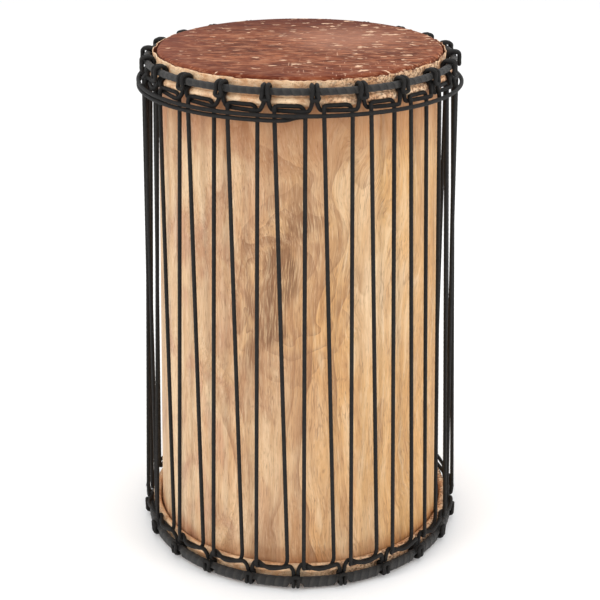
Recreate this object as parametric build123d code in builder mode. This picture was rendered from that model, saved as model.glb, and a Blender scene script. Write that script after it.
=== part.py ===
"""Dundun: a rope-tuned, two-headed cylinder drum standing on its lower head.

Millimetres, +Z up. The origin is the centre of the lower head's flat face, on
the ground; the drum's axis is Z and -Y is its front. Each end is built the same
way, the lower one mirrored and a little wider, because the log tapers.
"""
import os
from math import cos, pi, radians, sin

from build123d import *

os.makedirs("parts", exist_ok=True)

# ---- overall ----
height = 632.0  # over both heads
shell_top_r = 170.0  # outer radius of the log at the playing end
shell_bottom_r = 185.0  # and at the standing end
shell_wall = 14.0
edge_round = 4.0  # rounded bearing edge
straight_end = 20.0  # the taper stops this far from each face, so the hide lies flat on the log

# ---- hide ----
hide_t = 1.4
hide_gap = 0.1  # between hide and wood, and hide and ring
collar_foot = 0.5  # the trimmed collar ends this far from the head's face

# ---- every radius below is for an end of this radius; end_shift adds the difference ----
nominal_r = 180.0
end_shift = {"top": shell_top_r - nominal_r, "bottom": shell_bottom_r - nominal_r}

# ---- hoops; depths are measured from the head's face ----
flesh_ring_r, flesh_ring_depth, flesh_rod_d = 187.0, 26.0, 7.0
crown_ring_r, crown_ring_depth, crown_rod_d = 194.0, 13.0, 6.0
wrap_gap, wrap_t = 0.05, 1.25  # cloth strip wound round the crown ring

# ---- ropes ----
rope_d = 5.0
loops = 22
pitch = 360.0 / loops
top_knot_angle = 4.9  # of one knot, from the front toward +X
bottom_knot_angle = -1.5
hitch_half = 3.7  # half the spacing of a hitch's two turns over the crown ring
leg_half = 2.75  # half the spacing of its two legs below the bar
strand_half = 9.9  # a strand stands this far to the side of its knot
front_r, back_r = 199.4, 193.7  # strands outside and inside the bights

# ---- spare length of lacing wound round under the playing head ----
girdle_r = 205.2
girdle_turns = 1.55
girdle_first_depth, girdle_last_depth = 40.6, 46.0


def at(end, angle, side, r, depth):
    """A point near one end: angle round the drum, mm to the side of it, radius, depth."""
    radius = r + end_shift[end]
    a = radians(angle) + side / radius
    z = height - depth if end == "top" else depth
    return (radius * sin(a), -radius * cos(a), z)


def knot_angle(end, i):
    return (top_knot_angle if end == "top" else bottom_knot_angle) + pitch * i


def rope_along(route_points):
    """A rope's centre line from (point, bend radius) pairs: straight runs and tangent arcs."""
    return FilletPolyline(*[p for p, _ in route_points], radius=[b for _, b in route_points[1:-1]])


# ---- the carved log ----
with BuildPart() as shell:
    with BuildSketch(Plane.XZ):
        with BuildLine():
            lift = hide_t + hide_gap
            Polyline(
                (shell_bottom_r - shell_wall, lift + 10),
                (shell_bottom_r - shell_wall + 8, lift),
                (shell_bottom_r, lift),
                (shell_bottom_r, straight_end),
                (shell_top_r, height - straight_end),
                (shell_top_r, height - lift),
                (shell_top_r - shell_wall + 8, height - lift),
                (shell_top_r - shell_wall, height - lift - 10),
                close=True,
            )
        make_face()
    revolve(axis=Axis.Z)
    by_height = shell.edges().filter_by(GeomType.CIRCLE).group_by(Axis.Z)
    fillet([by_height[k].sort_by(SortBy.RADIUS)[-1] for k in (0, -1)], edge_round)
shell.part.label = "shell"
export_step(shell.part, "parts/shell.step")


# ---- one end's hide: head, down over the bearing edge, round the flesh ring, up as a collar ----
roll_r = flesh_rod_d / 2 + hide_gap + hide_t  # radius of the hide-covered ring
inside_r = nominal_r + hide_gap
collar_r = 184.2  # its flesh side, which faces outward
flesh_side = [  # radius, depth, bend radius
    (0.0, hide_t, 0.0),
    (inside_r, hide_t, edge_round),
    (inside_r, 13.5, 8.0),
    (flesh_ring_r - roll_r, flesh_ring_depth - 3.0, 6.0),
    (flesh_ring_r - roll_r, flesh_ring_depth + roll_r, roll_r - 0.05),
    (flesh_ring_r + roll_r, flesh_ring_depth + roll_r, roll_r - 0.05),
    (flesh_ring_r + roll_r, flesh_ring_depth - roll_r, roll_r - 0.05),
    (collar_r, flesh_ring_depth - roll_r, 1.5),
    (collar_r, collar_foot, 0.0),
]


def hair_side_of(line):
    """The same line moved one hide's thickness to the hair side, with its bend radii."""
    normals = []
    for (r0, d0, _), (r1, d1, _) in zip(line, line[1:]):
        run = ((r1 - r0) ** 2 + (d1 - d0) ** 2) ** 0.5
        normals.append(((d1 - d0) / run, -(r1 - r0) / run))
    moved = []
    for (r, d, bend), (ar, ad), (br, bd) in zip(line, normals[:1] + normals, normals + normals[-1:]):
        share = hide_t / (1 + ar * br + ad * bd)
        hair_is_outside = ar * bd - ad * br > 0
        new_bend = bend + hide_t if hair_is_outside else bend - hide_t
        moved.append((r + share * (ar + br), d + share * (ad + bd), new_bend if bend else 0.0))
    return moved


for end in ("top", "bottom"):
    sides = []
    for line in (flesh_side, hair_side_of(flesh_side)):
        shift = end_shift[end]
        points = [(r + shift if r else 0.0, height - d if end == "top" else d) for r, d, _ in line]
        sides.append((points, [bend for _, _, bend in line[1:-1]]))
    with BuildPart() as hide:
        with BuildSketch(Plane.XZ):
            with BuildLine():
                for points, bends in sides:
                    FilletPolyline(*points, radius=bends)
                Line(sides[0][0][0], sides[1][0][0])
                Line(sides[0][0][-1], sides[1][0][-1])
            make_face()
        revolve(axis=Axis.Z)
    hide.part.label = f"{end}_hide"
    export_step(hide.part, f"parts/{end}_hide.step")

# ---- steel hoops and the cloth strip round each crown ring ----
for end in ("top", "bottom"):
    z_flesh = height - flesh_ring_depth if end == "top" else flesh_ring_depth
    z_crown = height - crown_ring_depth if end == "top" else crown_ring_depth
    r_crown = crown_ring_r + end_shift[end]

    with BuildPart() as flesh_ring:
        with BuildSketch(Plane.XZ):
            with Locations((flesh_ring_r + end_shift[end], z_flesh)):
                Circle(flesh_rod_d / 2)
        revolve(axis=Axis.Z)
    flesh_ring.part.label = f"{end}_flesh_ring"
    export_step(flesh_ring.part, f"parts/{end}_flesh_ring.step")

    with BuildPart() as crown_ring:
        with BuildSketch(Plane.XZ):
            with Locations((r_crown, z_crown)):
                Circle(crown_rod_d / 2)
        revolve(axis=Axis.Z)
    crown_ring.part.label = f"{end}_crown_ring"
    export_step(crown_ring.part, f"parts/{end}_crown_ring.step")

    with BuildPart() as crown_wrap:
        with BuildSketch(Plane.XZ):
            with Locations((r_crown, z_crown)):
                Circle(crown_rod_d / 2 + wrap_gap + wrap_t)
                Circle(crown_rod_d / 2 + wrap_gap, mode=Mode.SUBTRACT)
        revolve(axis=Axis.Z)
    crown_wrap.part.label = f"{end}_crown_wrap"
    export_step(crown_wrap.part, f"parts/{end}_crown_wrap.step")

# ---- loop cords: a cow hitch round the crown ring, a bight to the next, 22 times ----
# side of the knot, radius, depth, bend radius: from the bight on the left, up the left
# leg, under and behind the crown ring, over it and down to the middle of the bar
left_half_hitch = [
    (-10.6, 199.9, 35.3, 12.0),
    (-6.2, 198.0, 35.2, 3.0),
    (-leg_half, 195.0, 26.5, 4.0),
    (-leg_half, 194.85, 21.28, 7.0),
    (-leg_half - 0.2, 186.9, 17.24, 6.8),
    (-hitch_half, 186.9, 5.9, 7.0),
    (-hitch_half, 201.1, 5.9, 7.0),
    (-hitch_half, 201.1, 20.5, 3.6),
]
# and from the bar's right end back down to the bight on the right
right_half_hitch = [(-s, r, d, bend) for s, r, d, bend in reversed(left_half_hitch[2:])] + [
    (6.2, 193.9, 35.2, 3.0),
    (11.0, 193.7, 35.3, 12.0),
    (23.0, 195.6, 35.3, 12.0),
]

first = 11  # every rope starts and ends at the back of the drum
last = first + loops - 1

for end in ("top", "bottom"):
    # the cord's two cut ends meet in one bight
    route_points = [(at(end, knot_angle(end, first - 1), 27.2, 196.3, 35.3), 0.0)]
    for i in range(first, last + 1):
        for side, r, depth, bend in left_half_hitch + right_half_hitch:
            route_points.append((at(end, knot_angle(end, i), side, r, depth), bend))
    route_points[-1] = (at(end, knot_angle(end, last), 26.8, 196.2, 35.3), 0.0)
    with BuildPart() as loop_cord:
        with BuildLine() as route:
            rope_along(route_points)
        with BuildSketch(Plane(origin=route.line @ 0, z_dir=route.line % 0)):
            Circle(rope_d / 2)
        sweep(path=route.line)
    loop_cord.part.label = f"{end}_loop_cord"
    export_step(loop_cord.part, f"parts/{end}_loop_cord.step")
    print(f"{end}_loop_cord length {route.wire().length:.0f} mm,",
          f"volume / section {loop_cord.part.volume / (pi * rope_d**2 / 4):.0f} mm")

# ---- lacing rope: zigzag between the two ends' bights, then the spare wound round ----
def u_turn(end, i):
    """Over one bight: in front of its left corner, along it, down behind its right one."""
    here, there = knot_angle(end, i), knot_angle(end, i + 1)
    return [
        (at(end, here, strand_half, front_r, 32.0), 3.0),
        (at(end, here, strand_half, 194.6, 29.6), 3.0),
        (at(end, (here + there) / 2, 0.0, 194.3, 30.0), 60.0),
        (at(end, there, -strand_half, back_r, 30.0), 4.0),
    ]


lacing = [(at("top", knot_angle("top", first - 1), 18.0, 194.3, 30.0), 0.0)]
lacing += u_turn("top", first - 1)[3:]
for i in range(first, last + 1):
    lacing += u_turn("bottom", i)
    if i < last:
        lacing += u_turn("top", i)

# the last strand comes up and turns into the girdle, outside every other strand
start = knot_angle("top", last)
lacing += [
    (at("top", start, strand_half, front_r, girdle_first_depth), 3.5),
    (at("top", start, strand_half + 12.0, girdle_r, girdle_first_depth), 20.0),
]
step = 360.0 / 48
turned = step * 1.5
while turned < 360.0 * girdle_turns - 14.0:
    sink = min(max((turned - 189.0) / 180.0, 0.0), 1.0)
    depth = girdle_first_depth + sink * (girdle_last_depth - girdle_first_depth)
    lacing.append((at("top", start + turned, strand_half, girdle_r, depth), 60.0))
    turned += step
# its end is tucked in between two strands
lacing[-1] = (lacing[-1][0], 5.0)
lacing += [
    (at("top", start + turned - 3.9, strand_half, 188.2, girdle_last_depth), 6.0),
    (at("top", start + turned - 1.1, strand_half, 187.9, girdle_last_depth), 0.0),
]

with BuildPart() as lacing_rope:
    with BuildLine() as route:
        rope_along(lacing)
    with BuildSketch(Plane(origin=route.line @ 0, z_dir=route.line % 0)):
        Circle(rope_d / 2)
    sweep(path=route.line)
lacing_rope.part.label = "lacing_rope"
export_step(lacing_rope.part, "parts/lacing_rope.step")
print(f"lacing_rope length {route.wire().length:.0f} mm,",
      f"volume / section {lacing_rope.part.volume / (pi * rope_d**2 / 4):.0f} mm")
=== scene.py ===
from math import cos, pi, radians, sin

import bpy
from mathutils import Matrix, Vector, noise


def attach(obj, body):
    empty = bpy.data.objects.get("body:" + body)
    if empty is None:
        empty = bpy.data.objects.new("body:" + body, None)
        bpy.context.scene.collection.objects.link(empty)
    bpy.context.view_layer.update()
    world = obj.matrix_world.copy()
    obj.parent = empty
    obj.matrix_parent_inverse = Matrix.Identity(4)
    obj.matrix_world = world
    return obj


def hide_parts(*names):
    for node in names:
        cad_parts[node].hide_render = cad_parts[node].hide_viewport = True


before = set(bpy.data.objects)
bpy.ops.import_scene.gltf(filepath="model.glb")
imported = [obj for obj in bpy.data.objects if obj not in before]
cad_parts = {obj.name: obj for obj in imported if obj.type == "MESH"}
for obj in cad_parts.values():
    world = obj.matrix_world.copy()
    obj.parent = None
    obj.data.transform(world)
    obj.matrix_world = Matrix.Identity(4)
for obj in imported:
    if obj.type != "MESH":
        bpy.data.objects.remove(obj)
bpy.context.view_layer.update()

MM = 0.001

# ---------------------------------------------------------------- the drum's own numbers, mm
HEIGHT = 632.0
HIDE_T, HIDE_GAP, EDGE_ROUND = 1.4, 0.1, 4.0
INSIDE_R = 180.1  # the hide's flesh side where it lies on the log
FLESH_R, FLESH_DEPTH, FLESH_ROD = 187.0, 26.0, 7.0
CROWN_R, CROWN_DEPTH = 194.0, 13.0
STRIP_TURNS = 118
ROLL_R = FLESH_ROD / 2 + HIDE_GAP + HIDE_T
COLLAR_R, COLLAR_FOOT = 184.2, 0.5
ROPE_D = 5.0
LOOPS = 22
PITCH = 360.0 / LOOPS
KNOT_ANGLE = {"top": 4.9, "bottom": -1.5}
HITCH_HALF = 2.66  # half the spacing of a hitch's two turns
LEG_HALF = 2.75  # and of its two legs
STRAND_HALF = 9.9  # a strand stands this far to the side of its knot
KNOT_SIDE = 6.8  # a knot holds the hide and strip down this far to either side
FRONT_R, BACK_R = 199.4, 194.0  # strands outside and inside the bights
BRAID = 3.2  # length of one diamond of the braid
ROW_LIFT = {"top": 1.3, "bottom": 0.0}  # the rope rows sit this much nearer the top head
GIRDLE_R, GIRDLE_TURNS = 205.2, 1.55
GIRDLE_FIRST, GIRDLE_LAST = 37.2, 42.6  # depths of its first and last turn
GIRDLE_STEP = 7.5  # degrees between its points
END_SHIFT = {"top": -10.0, "bottom": 5.0}  # the radii above are those of a log of radius 180
FIRST = 11  # every rope starts and ends at the back
LAST = FIRST + LOOPS - 1


def at(end, angle, side, r, depth):
    """A point near one end: angle round the drum, mm to the side of it, radius, depth."""
    radius = r + END_SHIFT[end]
    a = radians(angle) + side / radius
    z = HEIGHT - depth if end == "top" else depth
    return Vector((radius * sin(a), -radius * cos(a), z)) * MM


def knot_angle(end, i):
    return KNOT_ANGLE[end] + PITCH * i


def ring_noise(angle, cells, layer):
    """Smooth noise round the drum, about `cells` bumps in a full turn."""
    f = cells / (2 * pi)
    return noise.noise(Vector((f * cos(angle), f * sin(angle), layer * 7.3)))


def smooth(a, b, v):
    t = min(max((v - a) / (b - a), 0.0), 1.0)
    return t * t * (3 - 2 * t)


# ---------------------------------------------------------------- node helpers
def linear(rgb):
    """A colour given in 0 to 255 display values, as the shader wants it."""
    out = [(c / 255) / 12.92 if c <= 10 else (((c / 255) + 0.055) / 1.055) ** 2.4 for c in rgb]
    return (*out, 1.0)


class Look:
    """A material and short ways to add its nodes."""

    def __init__(self, name, **sockets):
        self.material = bpy.data.materials.new(name)
        self.material.use_nodes = True
        self.tree = self.material.node_tree
        self.tree.nodes.clear()
        self.out = self.tree.nodes.new("ShaderNodeOutputMaterial")
        self.shader = self.tree.nodes.new("ShaderNodeBsdfPrincipled")
        self.tree.links.new(self.shader.outputs[0], self.out.inputs[0])
        for key, value in sockets.items():
            self.shader.inputs[key.replace("_", " ")].default_value = value
        self.place = self.tree.nodes.new("ShaderNodeTexCoord")

    def put(self, socket, value):
        if isinstance(value, bpy.types.NodeSocket):
            self.tree.links.new(value, socket)
        else:
            socket.default_value = value

    def node(self, kind, inputs=(), **props):
        n = self.tree.nodes.new("ShaderNode" + kind)
        for key, value in props.items():
            setattr(n, key, value)
        for key, value in dict(inputs).items():
            self.put(n.inputs[key], value)
        return n

    def math(self, op, a, b=0.0, c=0.0, clamp=False):
        return self.node("Math", {0: a, 1: b, 2: c}, operation=op, use_clamp=clamp).outputs[0]

    def scaled(self, vector, x, y, z):
        return self.node("VectorMath", {0: vector, 1: (x, y, z)}, operation="MULTIPLY").outputs[0]

    def noise(self, vector, scale, detail=2.0, rough=0.5, warp=0.0, colour=False):
        n = self.node("TexNoise", {"Vector": vector, "Scale": scale, "Detail": detail,
                                   "Roughness": rough, "Distortion": warp})
        return n.outputs["Color" if colour else "Fac"]

    def span(self, value, lo, hi, to_lo=0.0, to_hi=1.0, soft=True):
        n = self.node("MapRange", {"Value": value, 1: lo, 2: hi, 3: to_lo, 4: to_hi},
                      interpolation_type="SMOOTHSTEP" if soft else "LINEAR")
        return n.outputs[0]

    def mix(self, factor, a, b, blend="MIX"):
        n = self.node("Mix", {0: factor}, data_type="RGBA", blend_type=blend)
        self.put(n.inputs[6], a)
        self.put(n.inputs[7], b)
        return n.outputs[2]

    def bump(self, height, distance, strength=1.0):
        n = self.node("Bump", {"Height": height, "Distance": distance, "Strength": strength})
        self.tree.links.new(n.outputs[0], self.shader.inputs["Normal"])


# ---------------------------------------------------------------- materials
def wood_look():
    """Pale wood, swirled and darker in the middle of the front, golden on the right."""
    m = Look("carved_wood")
    p = m.place.outputs["Object"]
    axes = m.node("SeparateXYZ", {0: p})
    x, y, z = axes.outputs[0], axes.outputs[1], axes.outputs[2]

    # the pith lies toward the front, so the front shows wide swirls and the sides run straight
    drift = m.noise(m.scaled(p, 1, 1, 0.42), 7.0, 2.0, 0.5, 0.6)
    drift_small = m.noise(m.scaled(p, 1, 1, 0.3), 34.0, 2.0, 0.5)
    from_pith = m.math("SQRT", m.math("ADD", m.math("POWER", m.math("ADD", x, 0.012), 2.0),
                                      m.math("POWER", m.math("ADD", y, 0.062), 2.0)))
    grown = m.math("ADD", from_pith, m.math("MULTIPLY", drift, 0.085))
    grown = m.math("ADD", grown, m.math("MULTIPLY", drift_small, 0.006))
    ring = m.math("FRACT", m.math("MULTIPLY", grown, 92.0))
    late = m.math("POWER", ring, 3.0)
    late = m.math("MULTIPLY", late, m.span(ring, 0.97, 1.0, 1.0, 0.0))
    wide_ring = m.math("FRACT", m.math("MULTIPLY", grown, 23.0))
    broad = m.math("MULTIPLY", m.span(wide_ring, 0.25, 0.85), m.span(wide_ring, 0.9, 1.0, 1.0, 0.0))

    # fibres and pores run up the log and follow the drift a little
    bend = m.node("CombineXYZ", {0: m.math("MULTIPLY", drift, 0.09), 1: m.math("MULTIPLY", drift, 0.05)})
    leaned = m.node("VectorMath", {0: p, 1: bend.outputs[0]}, operation="ADD").outputs[0]
    fibre = m.noise(m.scaled(leaned, 1, 1, 0.05), 640.0, 4.0, 0.68)
    streak = m.noise(m.scaled(leaned, 1, 1, 0.05), 120.0, 3.0, 0.55)
    pores = m.span(m.noise(m.scaled(leaned, 1, 1, 0.06), 950.0, 1.0, 0.5), 0.62, 0.72)
    cloud = m.noise(m.scaled(p, 1, 1, 0.5), 9.0, 3.0, 0.55)
    cloud_2 = m.noise(m.scaled(p, 1, 1, 0.6), 21.0, 2.0, 0.5, 0.8)

    straw, golden = linear((233, 202, 163)), linear((219, 171, 112))
    pink, brown = linear((206, 160, 132)), linear((150, 106, 72))
    base = m.mix(m.span(m.math("ADD", cloud, m.math("MULTIPLY", x, 1.2)), 0.38, 0.72), straw, golden)
    rosy = m.math("MULTIPLY", m.span(cloud_2, 0.42, 0.66), m.span(x, 0.06, -0.12, 0.0, 0.9))
    base = m.mix(rosy, base, pink)
    base = m.mix(m.span(x, -0.02, -0.13, 0.0, 0.55), base, linear((236, 226, 218)), "MULTIPLY")
    base = m.mix(m.span(streak, 0.42, 0.7, 0.0, 0.45), base, linear((203, 153, 102)))
    base = m.mix(m.span(streak, 0.5, 0.28, 0.0, 0.5), base, linear((240, 214, 178)))

    # a darker, figured zone in the middle of the front, and a slanting streak across it
    middle = m.math("MULTIPLY", m.span(m.math("ABSOLUTE", m.math("ADD", x, 0.018)), 0.13, 0.02),
                    m.span(y, 0.0, -0.08))
    base = m.mix(m.math("MULTIPLY", middle, m.span(cloud, 0.3, 0.7, 0.15, 0.6)), base,
                 linear((212, 160, 107)))
    slant = m.math("ADD", m.math("SUBTRACT", x, m.math("MULTIPLY", m.math("SUBTRACT", z, 0.36), 0.27)),
                   m.math("MULTIPLY", m.math("SUBTRACT", cloud_2, 0.5), 0.11))
    line = m.span(m.math("ABSOLUTE", m.math("ADD", slant, 0.037)), 0.026, 0.002)
    line = m.math("MULTIPLY", line, m.math("MULTIPLY", m.span(z, 0.22, 0.32), m.span(z, 0.54, 0.44)))
    line = m.math("MULTIPLY", line, m.math("MULTIPLY", middle, m.span(fibre, 0.35, 0.6, 0.3, 0.95)))
    base = m.mix(line, base, linear((104, 68, 44)))

    # arcs of grain stacked one over another round a point high on the front
    arch = m.math("SQRT", m.math("ADD", m.math("POWER", m.math("ADD", x, 0.012), 2.0), m.math(
        "POWER", m.math("MULTIPLY", m.math("SUBTRACT", z, 0.385), 0.55), 2.0)))
    arch = m.math("ADD", arch, m.math("MULTIPLY", m.math("SUBTRACT", cloud_2, 0.5), 0.05))
    arcs = m.math("POWER", m.math("FRACT", m.math("MULTIPLY", arch, 58.0)), 2.5)
    arcs = m.math("MULTIPLY", arcs, m.math("MULTIPLY", m.span(arch, 0.012, 0.03), m.span(arch, 0.088, 0.055)))
    arcs = m.math("MULTIPLY", arcs, m.math("MULTIPLY", m.span(y, -0.08, -0.13),
                                           m.span(fibre, 0.35, 0.6, 0.3, 0.75)))
    base = m.mix(arcs, base, linear((136, 92, 62)))
    base = m.mix(m.span(x, 0.09, 0.15, 0.0, 0.4), base, linear((214, 163, 100)))

    # thin dark lines and pale and dark blotches along the fibres
    for scale, stretch, weight in ((150.0, 0.09, 0.5), (330.0, 0.06, 0.45)):
        field = m.noise(m.scaled(leaned, 1, 1, stretch), scale, 2.0, 0.55)
        thin = m.span(m.math("ABSOLUTE", m.math("SUBTRACT", field, 0.5)), 0.03, 0.0)
        thin = m.math("MULTIPLY", thin, m.span(cloud_2, 0.3, 0.66, weight * 0.25, weight))
        base = m.mix(thin, base, linear((143, 98, 63)))
    blotch = m.noise(m.scaled(leaned, 1, 1, 0.13), 44.0, 3.0, 0.55, 0.7)
    base = m.mix(m.span(blotch, 0.5, 0.72, 0.0, 0.42), base, linear((176, 126, 84)))
    base = m.mix(m.span(blotch, 0.46, 0.3, 0.0, 0.45), base, linear((240, 212, 172)))

    # growth rings, fibres and pores
    figure = m.math("ADD", 0.2, m.math("MULTIPLY", middle, 0.55))
    figure = m.math("MULTIPLY", figure, m.span(cloud_2, 0.3, 0.62, 0.35, 1.25))
    base = m.mix(m.math("MULTIPLY", late, figure, clamp=True), base, brown)
    base = m.mix(m.math("MULTIPLY", broad, m.math("MULTIPLY", figure, 0.5), clamp=True), base,
                 linear((174, 128, 92)))
    base = m.mix(m.span(fibre, 0.5, 0.7, 0.0, 0.32), base, linear((160, 113, 74)))
    base = m.mix(m.span(fibre, 0.48, 0.32, 0.0, 0.28), base, linear((244, 220, 184)))
    base = m.mix(m.math("MULTIPLY", pores, 0.42), base, linear((120, 80, 52)))

    # finish stained at the foot where the hide met it wet; and faintly darker brown below the girdle,
    # strongest right under it
    uneven = m.math("MULTIPLY", m.math("SUBTRACT", m.noise(p, 38.0, 3.0, 0.6), 0.5), 0.05)
    foot = m.span(m.math("ADD", z, uneven), 0.052, 0.030, 0.0, 0.24)
    base = m.mix(foot, base, linear((206, 138, 84)), "MULTIPLY")
    under = m.span(m.math("ADD", z, m.math("MULTIPLY", uneven, 1.2)), 0.505, 0.590, 0.0, 0.62)
    base = m.mix(under, base, linear((166, 104, 58)))
    m.put(m.shader.inputs["Base Color"], base)
    m.put(m.shader.inputs["Roughness"], m.span(fibre, 0.3, 0.8, 0.5, 0.68))
    m.shader.inputs["Specular IOR Level"].default_value = 0.35
    relief = m.math("ADD", m.math("MULTIPLY", fibre, 0.5), m.math("MULTIPLY", pores, -0.6))
    relief = m.math("ADD", relief, m.math("MULTIPLY", late, -0.25))
    m.bump(relief, 0.0004, 0.55)
    return m.material


def hair_look():
    """Short brown hair lying across the head."""
    m = Look("hair_side")
    p = m.place.outputs["Object"]
    axes = m.node("SeparateXYZ", {0: p})
    x, y = axes.outputs[0], axes.outputs[1]
    swirl = m.noise(p, 8.0, 2.0, 0.5, colour=True)
    bent = m.node("VectorMath", {0: p, 1: m.scaled(swirl, 0.02, 0.02, 0.0)}, operation="ADD").outputs[0]
    hair = m.noise(m.scaled(bent, 0.09, 1, 1), 900.0, 3.0, 0.6)
    dash = m.noise(m.scaled(bent, 0.2, 1, 1), 330.0, 2.0, 0.6)
    tuft = m.noise(m.scaled(bent, 0.32, 1, 1), 120.0, 3.0, 0.6)
    cloud = m.noise(p, 11.0, 3.0, 0.55)
    base = m.mix(m.span(cloud, 0.32, 0.68), linear((98, 46, 28)), linear((134, 72, 47)))
    base = m.mix(m.span(tuft, 0.5, 0.66, 0.0, 0.6), base, linear((172, 106, 72)))
    base = m.mix(m.span(tuft, 0.46, 0.34, 0.0, 0.8), base, linear((68, 28, 18)))
    base = m.mix(m.span(dash, 0.54, 0.64, 0.0, 0.6), base, linear((198, 142, 108)))
    base = m.mix(m.span(dash, 0.46, 0.36, 0.0, 0.6), base, linear((66, 28, 20)))
    base = m.mix(m.span(hair, 0.5, 0.7, 0.0, 0.4), base, linear((178, 120, 88)))
    base = m.mix(m.span(hair, 0.48, 0.3, 0.0, 0.45), base, linear((62, 27, 19)))
    # a paler patch towards the back right, and a painted pinkish-purple sheen on the left rim
    away = m.math("SQRT", m.math("ADD", m.math("POWER", m.math("SUBTRACT", x, 0.055), 2.0),
                                 m.math("POWER", m.math("SUBTRACT", y, 0.05), 2.0)))
    away = m.math("ADD", away, m.math("MULTIPLY", m.math("SUBTRACT", cloud, 0.5), 0.12))
    base = m.mix(m.span(away, 0.11, 0.02, 0.0, 0.42), base, linear((190, 138, 114)))
    base = m.mix(m.span(y, 0.03, 0.16, 0.0, 0.8), base, linear((84, 34, 21)))
    base = m.mix(m.span(y, -0.08, -0.165, 0.0, 0.5), base, linear((98, 42, 26)))
    # painted sheen along the left rim
    base = m.mix(m.span(x, -0.08, -0.165, 0.0, 0.45), base, linear((112, 60, 48)))
    # scratches through the hair, short and slanting
    turned = m.node("Mapping", {0: p, 2: (0, 0, radians(-17)), 3: (1, 0.07, 1)}).outputs[0]
    cut = m.span(m.noise(turned, 430.0, 1.0, 0.5), 0.66, 0.72)
    near = m.span(m.math("ADD", m.math("ABSOLUTE", m.math("SUBTRACT", x, 0.045)),
                         m.math("ABSOLUTE", m.math("ADD", y, 0.115))), 0.1, 0.03)
    base = m.mix(m.math("MULTIPLY", cut, near), base, linear((214, 172, 142)))
    # bare flecks where the hair is rubbed off, most of them on the right and at the back
    lying = m.node("Mapping", {0: bent, 2: (0, 0, radians(12)), 3: (0.45, 1, 1)}).outputs[0]
    fleck = m.noise(lying, 135.0, 2.0, 0.6)
    more = m.math("MULTIPLY", m.math("ADD", x, m.math("MULTIPLY", y, 0.5)), 0.22)
    fleck = m.span(m.math("ADD", fleck, more), 0.635, 0.69)
    base = m.mix(m.math("MULTIPLY", fleck, 0.9), base, linear((228, 190, 158)))
    m.put(m.shader.inputs["Base Color"], base)
    m.put(m.shader.inputs["Roughness"], m.span(hair, 0.3, 0.8, 0.55, 0.75))
    m.shader.inputs["Specular IOR Level"].default_value = 0.05
    relief = m.math("ADD", m.math("MULTIPLY", hair, 0.6), m.math("MULTIPLY", dash, 0.8))
    m.bump(relief, 0.0006, 0.6)
    return m.material


def flesh_look(end):
    """Cream rawhide, speckled and darker on the drum's right; red-brown under each knot."""
    m = Look(f"{end}_flesh_side")
    p = m.place.outputs["Object"]
    axes = m.node("SeparateXYZ", {0: p})
    x, y, z = axes.outputs[0], axes.outputs[1], axes.outputs[2]
    cloud = m.noise(p, 46.0, 3.0, 0.6)
    fleck = m.noise(p, 330.0, 2.0, 0.6)
    speck = m.noise(p, 900.0, 1.0, 0.5)
    drawn = m.noise(m.scaled(p, 1, 1, 2.6), 120.0, 3.0, 0.6, 0.5)
    base = m.mix(m.span(cloud, 0.35, 0.68), linear((243, 208, 168)), linear((218, 166, 120)))
    base = m.mix(m.span(drawn, 0.5, 0.68, 0.0, 0.6), base, linear((184, 128, 84)))
    base = m.mix(m.span(drawn, 0.46, 0.3, 0.0, 0.6), base, linear((248, 228, 198)))
    right = m.span(m.math("ADD", x, m.math("MULTIPLY", m.math("SUBTRACT", cloud, 0.5), 0.2)), -0.02, 0.08)
    dark = m.math("MULTIPLY", m.span(fleck, 0.47, 0.57), m.math("ADD", m.math("MULTIPLY", right, 0.7), 0.06))
    base = m.mix(dark, base, linear((110, 62, 38)))
    base = m.mix(m.span(speck, 0.64, 0.7, 0.0, 0.6), base, linear((92, 56, 36)))
    turn = m.math("MULTIPLY", m.math("ARCTAN2", x, m.math("MULTIPLY", y, -1.0)), 180 / pi / PITCH)
    side = m.math("ABSOLUTE", m.math("SUBTRACT", m.math("FRACT", m.math(
        "ADD", turn, 40.5 - KNOT_ANGLE[end] / PITCH)), 0.5))
    under_knot = m.span(m.math("ADD", side, m.math("MULTIPLY", m.math("SUBTRACT", fleck, 0.5), 0.1)),
                        0.13, 0.06, 0.0, 0.85)
    depth = m.math("SUBTRACT", HEIGHT * MM, z) if end == "top" else z
    low = m.span(depth, 0.019, 0.023)
    if end == "top":
        base = m.mix(m.math("MULTIPLY", under_knot, low), base, linear((118, 66, 44)))
    m.put(m.shader.inputs["Base Color"], base)
    m.put(m.shader.inputs["Roughness"], m.span(cloud, 0.3, 0.7, 0.5, 0.72))
    relief = m.math("ADD", m.math("MULTIPLY", fleck, 1.0), m.math("MULTIPLY", speck, 0.4))
    m.bump(relief, 0.0007, 0.7)
    return m.material


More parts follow.
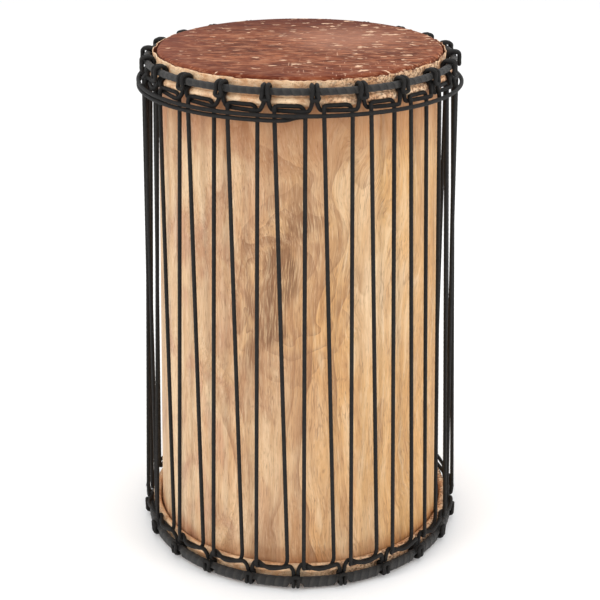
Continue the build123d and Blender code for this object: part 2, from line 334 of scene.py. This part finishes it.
def rope_look():
    """Black braided cord, the top of each strand painted paler as a highlight and patchy with dust."""
    m = Look("black_braid")
    axes = m.node("SeparateXYZ", {0: m.place.outputs["UV"]})
    around = m.math("MULTIPLY", axes.outputs[0], 8.0)
    along = m.math("MULTIPLY", axes.outputs[1], 1 / 2.4)
    one = m.math("SINE", m.math("MULTIPLY", m.math("ADD", around, along), pi))
    other = m.math("SINE", m.math("MULTIPLY", m.math("SUBTRACT", around, along), pi))
    raised = m.math("SQRT", m.math("ABSOLUTE", m.math("MULTIPLY", one, other)))
    dust_and_sheen = m.noise(m.place.outputs["Object"], 160.0, 3.0, 0.6)
    fuzz = m.noise(m.place.outputs["Object"], 2600.0, 1.0, 0.5)
    # the raised diamonds of the braid painted grey-brown as highlights, patchy with dust
    base = m.mix(m.math("MULTIPLY", raised, m.span(dust_and_sheen, 0.3, 0.75, 0.25, 1.0)),
                 linear((11, 11, 11)), linear((40, 37, 35)))
    base = m.mix(m.span(fuzz, 0.55, 0.8, 0.0, 0.3), base, linear((58, 55, 52)))
    m.put(m.shader.inputs["Base Color"], base)
    m.put(m.shader.inputs["Roughness"], m.span(raised, 0.0, 1.0, 0.8, 0.52))
    m.shader.inputs["Specular IOR Level"].default_value = 0.22
    m.bump(m.math("ADD", raised, m.math("MULTIPLY", fuzz, 0.2)), 0.0005, 0.8)
    return m.material


def cloth_look():
    """Charcoal cotton strip wound slantwise on the crown rings."""
    m = Look("charcoal_strip")
    p = m.place.outputs["Object"]
    axes = m.node("SeparateXYZ", {0: m.place.outputs["UV"]})
    warp = m.math("SINE", m.math("MULTIPLY", axes.outputs[0], 2 * pi * 46))
    weft = m.math("SINE", m.math("MULTIPLY", axes.outputs[1], 2 * pi * 16))
    weave = m.math("MULTIPLY", warp, weft)
    # one edge of each turn is painted dark as shade in its crease, and the stretch after it is painted paler
    # as a highlight on the raised lap
    lap = m.math("FRACT", m.math("ADD", axes.outputs[0], axes.outputs[1]))
    worn = m.noise(p, 120.0, 3.0, 0.6)
    base = m.mix(m.span(worn, 0.35, 0.75), linear((17, 16, 16)), linear((38, 36, 34)))
    base = m.mix(m.span(weave, -0.2, 1.0, 0.0, 0.3), base, linear((58, 55, 52)))
    base = m.mix(m.span(lap, 0.75, 0.2, 0.0, 0.45), base, linear((64, 60, 56)))
    base = m.mix(m.span(lap, 0.2, 0.04, 0.0, 0.95), base, linear((5, 5, 5)))
    m.put(m.shader.inputs["Base Color"], base)
    m.put(m.shader.inputs["Roughness"], m.span(worn, 0.3, 0.7, 0.75, 0.92))
    m.shader.inputs["Sheen Weight"].default_value = 0.1
    m.bump(m.math("ADD", m.math("MULTIPLY", weave, 0.5), worn), 0.0003, 0.7)
    return m.material


def steel_look():
    """Plain drawn rod with a few rust spots."""
    m = Look("bare_steel", Metallic=1.0)
    p = m.place.outputs["Object"]
    drawn = m.noise(m.scaled(p, 1, 1, 6), 300.0, 2.0, 0.6)
    spots = m.noise(p, 60.0, 3.0, 0.6)
    base = m.mix(m.span(spots, 0.55, 0.75), linear((150, 148, 146)), linear((112, 78, 56)))
    m.put(m.shader.inputs["Base Color"], base)
    m.put(m.shader.inputs["Roughness"], m.span(drawn, 0.3, 0.7, 0.3, 0.5))
    m.bump(drawn, 0.0002, 0.4)
    return m.material


# ---------------------------------------------------------------- mesh helpers
def new_piece(name, verts, faces, materials, node, uvs=None, kinds=None):
    """A smooth-shaded piece that takes a CAD node's place; kinds is each face's material."""
    mesh = bpy.data.meshes.new(name)
    mesh.from_pydata(verts, [], faces)
    for material in materials:
        mesh.materials.append(material)
    mesh.polygons.foreach_set("use_smooth", [True] * len(mesh.polygons))
    if kinds:
        mesh.polygons.foreach_set("material_index", kinds)
    if uvs:
        layer = mesh.uv_layers.new(name="along")
        layer.data.foreach_set("uv", uvs)
    mesh.update()
    obj = bpy.data.objects.new(name, mesh)
    bpy.context.scene.collection.objects.link(obj)
    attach(obj, "root")
    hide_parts(node)
    return obj


# ---------------------------------------------------------------- ropes
def line_through(name, points):
    """The smooth line of a rope: a NURBS spline with the route's points as control points."""
    curve = bpy.data.curves.new(name, "CURVE")
    curve.dimensions = "3D"
    curve.resolution_u = 16
    spline = curve.splines.new("NURBS")
    spline.points.add(len(points) - 1)
    for control, co in zip(spline.points, points):
        control.co = (*co, 1.0)
    spline.order_u = 3
    spline.use_endpoint_u = True
    holder = bpy.data.objects.new(name, curve)
    mesh = bpy.data.meshes.new_from_object(holder)
    line = [v.co.copy() for v in mesh.vertices]
    bpy.data.objects.remove(holder)
    bpy.data.curves.remove(curve)
    bpy.data.meshes.remove(mesh)
    return line


def stations(line, braid, split):
    """Points along a line every `braid` mm, and `split` times as close where it bends."""
    lengths = [0.0]
    for a, b in zip(line, line[1:]):
        lengths.append(lengths[-1] + (b - a).length / MM)
    total = lengths[-1]
    seg = 0

    def point(s):
        nonlocal seg
        while seg < len(line) - 2 and lengths[seg + 1] < s:
            seg += 1
        t = (s - lengths[seg]) / max(lengths[seg + 1] - lengths[seg], 1e-9)
        return line[seg].lerp(line[seg + 1], min(max(t, 0.0), 1.0))

    coarse = [k * braid for k in range(int(total / braid) + 1)]
    knots = [point(s) for s in coarse]
    places = []
    for k, s in enumerate(coarse[:-1]):
        before = knots[k] - knots[max(k - 1, 0)]
        here = knots[k + 1] - knots[k]
        after = knots[min(k + 2, len(knots) - 1)] - knots[k + 1]
        turn = max(here.angle(before, 0.0), here.angle(after, 0.0))
        parts = split if turn > 0.12 else 1
        places += [s + braid * j / parts for j in range(parts)]
    places.append(total)
    seg = 0
    return [(s, point(s)) for s in places]


def braided(name, points, split, material, node):
    """A braided cord along a route, its strands standing out as rows of diamonds."""
    sides = 10
    relief = 0.07
    line = stations(line_through(name, points), BRAID, split)
    verts, faces, uvs = [], [], []
    normal = None
    for k, (s, centre) in enumerate(line):
        ahead = line[min(k + 1, len(line) - 1)][1] - line[max(k - 1, 0)][1]
        ahead.normalize()
        if normal is None:
            normal = ahead.orthogonal()
        normal = (normal - ahead * normal.dot(ahead)).normalized()
        across = ahead.cross(normal)
        wave = cos(pi * s / BRAID)
        for j in range(sides):
            a = 2 * pi * j / sides
            lift = relief * wave * (1 if j % 2 else -1)
            radius = (ROPE_D / 2 - 0.05 + lift) * MM
            verts.append(centre + (normal * cos(a) + across * sin(a)) * radius)
    for k in range(len(line) - 1):
        s0, s1 = line[k][0], line[k + 1][0]
        for j in range(sides):
            n = (j + 1) % sides
            faces.append((k * sides + j, k * sides + n, (k + 1) * sides + n, (k + 1) * sides + j))
            u0, u1 = j / sides, (j + 1) / sides
            uvs += [u0, s0, u1, s0, u1, s1, u0, s1]
    end = (len(line) - 1) * sides
    for ring in (tuple(reversed(range(sides))), tuple(range(end, end + sides))):
        faces.append(ring)
        uvs += [0.5, 0.5] * sides
    return new_piece(name, verts, faces, [material], node, uvs=uvs)


# a hitch as (side, radius, depth): up the left leg, behind and over the ring, to the bar;
# then from the bar down the right leg and into the bight
LEFT_HALF = [
    (-10.6, 199.9, 35.3), (-6.2, 198.0, 35.2), (-LEG_HALF, 195.0, 26.5), (-LEG_HALF, 194.85, 21.28),
    (-LEG_HALF - 0.1, 186.9, 17.24), (-HITCH_HALF, 186.9, 5.9), (-HITCH_HALF, 201.1, 5.9),
    (-HITCH_HALF, 201.1, 14.0), (-4.9, 201.3, 21.0),
]
RIGHT_HALF = [(-s, r, d) for s, r, d in reversed(LEFT_HALF[2:])] + [
    (6.2, 193.9, 35.2), (11.0, 193.7, 35.3), (23.0, 195.6, 35.3)]
# at the foot a bight droops over the lacing between its corners
LOW_RIGHT_HALF = RIGHT_HALF[:-1] + [(18.5, 197.6, 33.0), (25.0, 200.2, 31.6), (34.0, 200.6, 31.8)]


def loop_route(end):
    """A cow hitch round the crown ring and a bight to the next, all the way round."""
    route = [at(end, knot_angle(end, FIRST - 1), 27.2, 196.3, 35.3)]
    for i in range(FIRST, LAST + 1):
        right = RIGHT_HALF if end == "top" else LOW_RIGHT_HALF
        route += [at(end, knot_angle(end, i), s, r, d - ROW_LIFT[end] * smooth(26, 34, d))
                  for s, r, d in LEFT_HALF + right]
    if end == "top":
        route[0] = at(end, knot_angle(end, FIRST - 1), 27.2, 196.3, 34.0)
        route[-1] = at(end, knot_angle(end, LAST), 26.8, 196.2, 34.0)
    else:
        route[0] = at(end, knot_angle(end, FIRST - 1), 30.2, 200.5, 31.7)
        route[-1] = at(end, knot_angle(end, LAST), 29.8, 200.4, 31.7)
    return route


def u_turn(end, i):
    """Over one bight: in front of its left corner, along it, down behind its right one."""
    here, there, lift = knot_angle(end, i), knot_angle(end, i + 1), ROW_LIFT[end]
    return [at(end, here, STRAND_HALF, FRONT_R, 32.0 - lift), at(end, here, STRAND_HALF, 194.9, 29.6 - lift),
            at(end, (here + there) / 2, 0.0, 194.7, 30.0 - lift),
            at(end, there, -STRAND_HALF, BACK_R, 30.0 - lift)]


def with_strand(route, turn):
    """Adds a turn after a long straight strand, with a point near each end of the strand."""
    near = 6 * ROPE_D * MM
    along = (turn[0] - route[-1]).normalized()
    return route + [route[-1] + along * near, turn[0] - along * near] + turn


def lacing_route():
    """Down and up through every bight, then the spare length round under the playing head."""
    route = [at("top", knot_angle("top", FIRST - 1), 18.0, 194.3, 30.0)] + u_turn("top", FIRST - 1)[3:]
    for i in range(FIRST, LAST + 1):
        route = with_strand(route, u_turn("bottom", i))
        if i < LAST:
            route = with_strand(route, u_turn("top", i))
    start = knot_angle("top", LAST)
    route = with_strand(route, [at("top", start, STRAND_HALF, FRONT_R, GIRDLE_FIRST),
                                at("top", start, STRAND_HALF + 12.0, GIRDLE_R, GIRDLE_FIRST)])
    turned = GIRDLE_STEP * 1.5
    while turned < 360.0 * GIRDLE_TURNS - 14.0:
        sink = min(max((turned - 189.0) / 180.0, 0.0), 1.0)
        depth = GIRDLE_FIRST + sink * (GIRDLE_LAST - GIRDLE_FIRST)
        route.append(at("top", start + turned, STRAND_HALF, GIRDLE_R, depth))
        turned += GIRDLE_STEP
    return route + [at("top", start + turned - 3.9, STRAND_HALF, 188.2, GIRDLE_LAST),
                    at("top", start + turned - 1.1, STRAND_HALF, 187.9, GIRDLE_LAST)]


# ---------------------------------------------------------------- hides
FLESH_SIDE = [  # radius, depth, bend radius
    (0.0, HIDE_T, 0.0),
    (INSIDE_R, HIDE_T, EDGE_ROUND),
    (INSIDE_R, 13.5, 8.0),
    (FLESH_R - ROLL_R, FLESH_DEPTH - 3.0, 6.0),
    (FLESH_R - ROLL_R, FLESH_DEPTH + ROLL_R, ROLL_R - 0.05),
    (FLESH_R + ROLL_R, FLESH_DEPTH + ROLL_R, ROLL_R - 0.05),
    (FLESH_R + ROLL_R, FLESH_DEPTH - ROLL_R, ROLL_R - 0.05),
    (COLLAR_R, FLESH_DEPTH - ROLL_R, 1.5),
    (COLLAR_R, COLLAR_FOOT, 0.0),
]


def profile():
    """The flesh side's section as (radius, depth) points, and how many rows the collar has."""
    pts = [Vector((r, d)) for r, d, _ in FLESH_SIDE]
    bends = [b for _, _, b in FLESH_SIDE]
    out = [Vector((r, HIDE_T)) for r in (2, 12, 30, 50, 70, 90, 110, 126, 140, 152, 161, 168, 173)]
    for k in range(1, len(pts) - 1):
        into, away = (pts[k] - pts[k - 1]).normalized(), (pts[k + 1] - pts[k]).normalized()
        turn = into.angle_signed(away)
        cut = bends[k] * abs(sin(turn / 2) / cos(turn / 2))
        start, finish = pts[k] - into * cut, pts[k] + away * cut
        run = (start - out[-1]).length
        count = max(1, round(run / 1.5))
        out += [out[-1].lerp(start, j / count) for j in range(1, count + 1)]
        count = max(2, round(abs(turn) * bends[k] / 0.9))
        centre = start + Vector((-into.y, into.x)) * bends[k] * (-1 if turn > 0 else 1)
        for j in range(1, count):
            a = -turn * j / count
            arm = start - centre
            out.append(centre + Vector((arm.x * cos(a) - arm.y * sin(a), arm.x * sin(a) + arm.y * cos(a))))
        out.append(finish)
    count = 12
    start = out[-1].copy()
    out += [start.lerp(pts[-1], j / count) for j in range(1, count + 1)]
    return out, count


def hide(end, materials):
    """Head, bearing edge, roll round the flesh ring and collar, drawn in at every knot."""
    columns = LOOPS * 24
    line, collar_rows = profile()
    n = len(line)
    collar_from = n - collar_rows - 1
    shift = END_SHIFT[end]
    normals = []
    for k in range(n):
        d = line[min(k + 1, n - 1)] - line[max(k - 1, 0)]
        d.normalize()
        normals.append(Vector((d.y, -d.x)))

    def bend(column):
        """How the hide lies at one angle: free of a knot or not, puffed, pleated, flared, cut."""
        a = 2 * pi * column / columns
        turn = (a * 180 / pi - KNOT_ANGLE[end]) / PITCH
        side = abs(turn - round(turn)) * radians(PITCH) * 190.0
        free = smooth(KNOT_SIDE, 13.0, side)
        right = smooth(-0.4, 0.7, sin(a)) * smooth(-0.9, 0.3, cos(a))
        puff = 0.55 + 0.9 * ring_noise(a, 70, 1)
        pleat = 0.7 * ring_noise(a, 150, 2) + 0.5 * ring_noise(a, 210, 3)
        flare = 1.3 + 1.5 * ring_noise(a, 40, 4) + 0.8 * pleat
        ragged = (0.7 + 0.9 * right) * (1.5 * ring_noise(a, 55, 5) + 1.5 * ring_noise(a, 190, 6))
        rim = min(max(2.9 + ragged * (0.45 + 0.55 * free), 0.9), 6.0)
        lie = 0.25 * ring_noise(a, 9, 7)
        return a, free, puff, pleat, flare, rim, lie

    verts = []
    bends = [bend(c) for c in range(columns)]
    for thickness_on in (False, True):
        for k, p in enumerate(line):
            f = max(0.0, (k - collar_from) / collar_rows)
            thick = (HIDE_T - 0.45 * f) if thickness_on else 0.0
            r0, d0 = p.x + normals[k].x * thick, p.y + normals[k].y * thick
            from_ring = Vector((r0 - FLESH_R, d0 - FLESH_DEPTH))
            rolled = smooth(-1.0, 2.5, from_ring.x) if f == 0 and from_ring.length < ROLL_R + 1 else 0.0
            for a, free, puff, pleat, flare, rim, lie in bends:
                r, d = r0, d0
                if rolled:
                    out = rolled * (free * max(puff + 0.45 * pleat, -0.2) + 0.12 * pleat)
                    r += from_ring.x / from_ring.length * out
                    d += from_ring.y / from_ring.length * out
                if f:
                    r += free * max(flare, 0.0) * f ** 0.8 + 0.2 * pleat * f
                    d = line[collar_from].y + (rim - line[collar_from].y) * f
                if end == "top" and r0 < 172:
                    d += lie * smooth(30, 90, r0) * smooth(172, 150, r0)
                z = HEIGHT - d if end == "top" else d
                radius = r + shift * min(r0 / 170.0, 1.0)
                verts.append((radius * sin(a) * MM, -radius * cos(a) * MM, z * MM))

    faces, kinds = [], []
    flip = end == "bottom"

    def quad(a, b, c, d, kind):
        faces.append((d, c, b, a) if flip else (a, b, c, d))
        kinds.append(kind)

    for layer, kind in ((0, 1), (n, 0)):
        for k in range(n - 1):
            for c in range(columns):
                e = (c + 1) % columns
                i0, i1 = (layer + k) * columns, (layer + k + 1) * columns
                if layer:
                    quad(i0 + c, i1 + c, i1 + e, i0 + e, kind)
                else:
                    quad(i0 + e, i1 + e, i1 + c, i0 + c, kind)
    for c in range(columns):
        e = (c + 1) % columns
        i0, i1 = (n - 1) * columns, (2 * n - 1) * columns
        quad(i0 + e, i1 + e, i1 + c, i0 + c, 1)
    for layer, kind in ((0, 1), (n, 0)):
        centre = len(verts)
        d = 0.0 if layer else HIDE_T
        verts.append((0.0, 0.0, (HEIGHT - d if end == "top" else d) * MM))
        for c in range(columns):
            e = (c + 1) % columns
            i = layer * columns
            tri = (centre, i + c, i + e) if layer else (centre, i + e, i + c)
            faces.append(tuple(reversed(tri)) if flip else tri)
            kinds.append(kind)
    return new_piece(f"{end}_head_hide", verts, faces, materials, f"{end}_hide", kinds=kinds)


# ---------------------------------------------------------------- crown ring strips
def crown_strip(end, material):
    """A cloth strip wound round the ring, each turn lapping the one before."""
    columns, rows = 10 * STRIP_TURNS, 16
    ring_r = CROWN_R + END_SHIFT[end]
    verts, faces, uvs = [], [], []
    wound = []  # turns wound so far, at each column
    for c in range(columns):
        a = 2 * pi * c / columns
        wound.append((STRIP_TURNS * a + 0.5 * ring_noise(a, 60, 8)) / (2 * pi))
        turn = (a * 180 / pi - KNOT_ANGLE[end]) / PITCH
        side = abs(turn - round(turn)) * radians(PITCH) * ring_r
        padded = smooth(KNOT_SIDE, 10.5, side) if end == "bottom" else 0.0
        for j in range(rows):
            b = 2 * pi * j / rows
            lap = (wound[-1] + b / (2 * pi)) % 1.0
            rise = 0.52 * smooth(0.0, 0.16, lap) * (1.0 - 0.8 * lap)
            radius = 3.84 + rise + 0.1 * ring_noise(a, 90, 9)
            r = ring_r + radius * cos(b) + 0.8 * padded * max(sin(b), 0.0)
            d = CROWN_DEPTH - radius * sin(b) - padded * 5.2 * smooth(-0.35, 0.8, sin(b))
            z = HEIGHT - d if end == "top" else d
            verts.append((r * sin(a) * MM, -r * cos(a) * MM, z * MM))
    for c in range(columns):
        e = (c + 1) % columns
        s0, s1 = wound[c], wound[e] + (STRIP_TURNS if e == 0 else 0)
        for j in range(rows):
            f = (j + 1) % rows
            face = (c * rows + j, e * rows + j, e * rows + f, c * rows + f)
            u0, u1 = j / rows, (j + 1) / rows
            corner = [(u0, s0), (u0, s1), (u1, s1), (u1, s0)]
            if end == "bottom":
                face, corner = tuple(reversed(face)), corner[::-1]
            faces.append(face)
            for uv in corner:
                uvs += uv
    return new_piece(f"{end}_ring_strip", verts, faces, [material],
                     f"{end}_crown_wrap", uvs=uvs)


# ---------------------------------------------------------------- build everything
wood, hair, rope, cloth, steel = wood_look(), hair_look(), rope_look(), cloth_look(), steel_look()
for node, material in (("shell", wood), ("top_flesh_ring", steel), ("bottom_flesh_ring", steel),
                       ("top_crown_ring", steel), ("bottom_crown_ring", steel)):
    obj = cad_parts[node]
    obj.data.materials.clear()
    obj.data.materials.append(material)

for end in ("top", "bottom"):
    hide(end, [hair, flesh_look(end)])
    crown_strip(end, cloth)
    braided(f"{end}_loops", loop_route(end), 3, rope, f"{end}_loop_cord")
braided("lacing", lacing_route(), 2, rope, "lacing_rope")

# ---------------------------------------------------------------- floor, light, camera
floor_mesh = bpy.data.meshes.new("floor")
floor_mesh.from_pydata([(-30, -30, 0), (30, -30, 0), (30, 30, 0), (-30, 30, 0)], [], [(0, 1, 2, 3)])
floor = bpy.data.objects.new("floor", floor_mesh)
bpy.context.scene.collection.objects.link(floor)
pale = Look("pale_floor", Roughness=0.9)
grit = pale.noise(pale.place.outputs["Object"], 3.0, 2.0, 0.5)
pale.put(pale.shader.inputs["Base Color"],
         pale.mix(grit, linear((252, 252, 252)), linear((254, 254, 254))))
pale.shader.inputs["Specular IOR Level"].default_value = 0.1
floor_mesh.materials.append(pale.material)


def softbox(name, place, size, power, aim=(0.0, 0.0, 0.35)):
    """A rectangular lamp at a place, turned toward the drum."""
    lamp = bpy.data.lights.new(name, "AREA")
    lamp.shape, lamp.size, lamp.size_y = "RECTANGLE", size[0], size[1]
    lamp.energy = power
    obj = bpy.data.objects.new(name, lamp)
    obj.location = place
    obj.rotation_euler = (Vector(aim) - Vector(place)).to_track_quat("-Z", "Y").to_euler()
    bpy.context.scene.collection.objects.link(obj)


softbox("left_box", (-1.9, -1.5, 1.3), (1.0, 1.8), 23.0)
softbox("right_box", (2.0, -1.3, 1.2), (1.0, 1.8), 20.0)
softbox("top_box", (0.1, 0.5, 2.4), (1.6, 1.2), 9.0)

world = bpy.data.worlds.new("white_room")
world.use_nodes = True
world.node_tree.nodes["Background"].inputs[0].default_value = (1.0, 1.0, 1.0, 1.0)
world.node_tree.nodes["Background"].inputs[1].default_value = 1.0
bpy.context.scene.world = world
bpy.context.scene.view_settings.view_transform = "Standard"

lens = bpy.data.cameras.new("camera")
lens.sensor_width, lens.lens = 36.0, 81.24
lens.shift_y = -0.10
lens.clip_start, lens.clip_end = 0.05, 100.0
camera = bpy.data.objects.new("camera", lens)
camera.location = (0.0, -1.6094, 0.9697)
camera.rotation_euler = (radians(90 - 20.06), 0.0, 0.0)
bpy.context.scene.collection.objects.link(camera)
bpy.context.scene.camera = camera
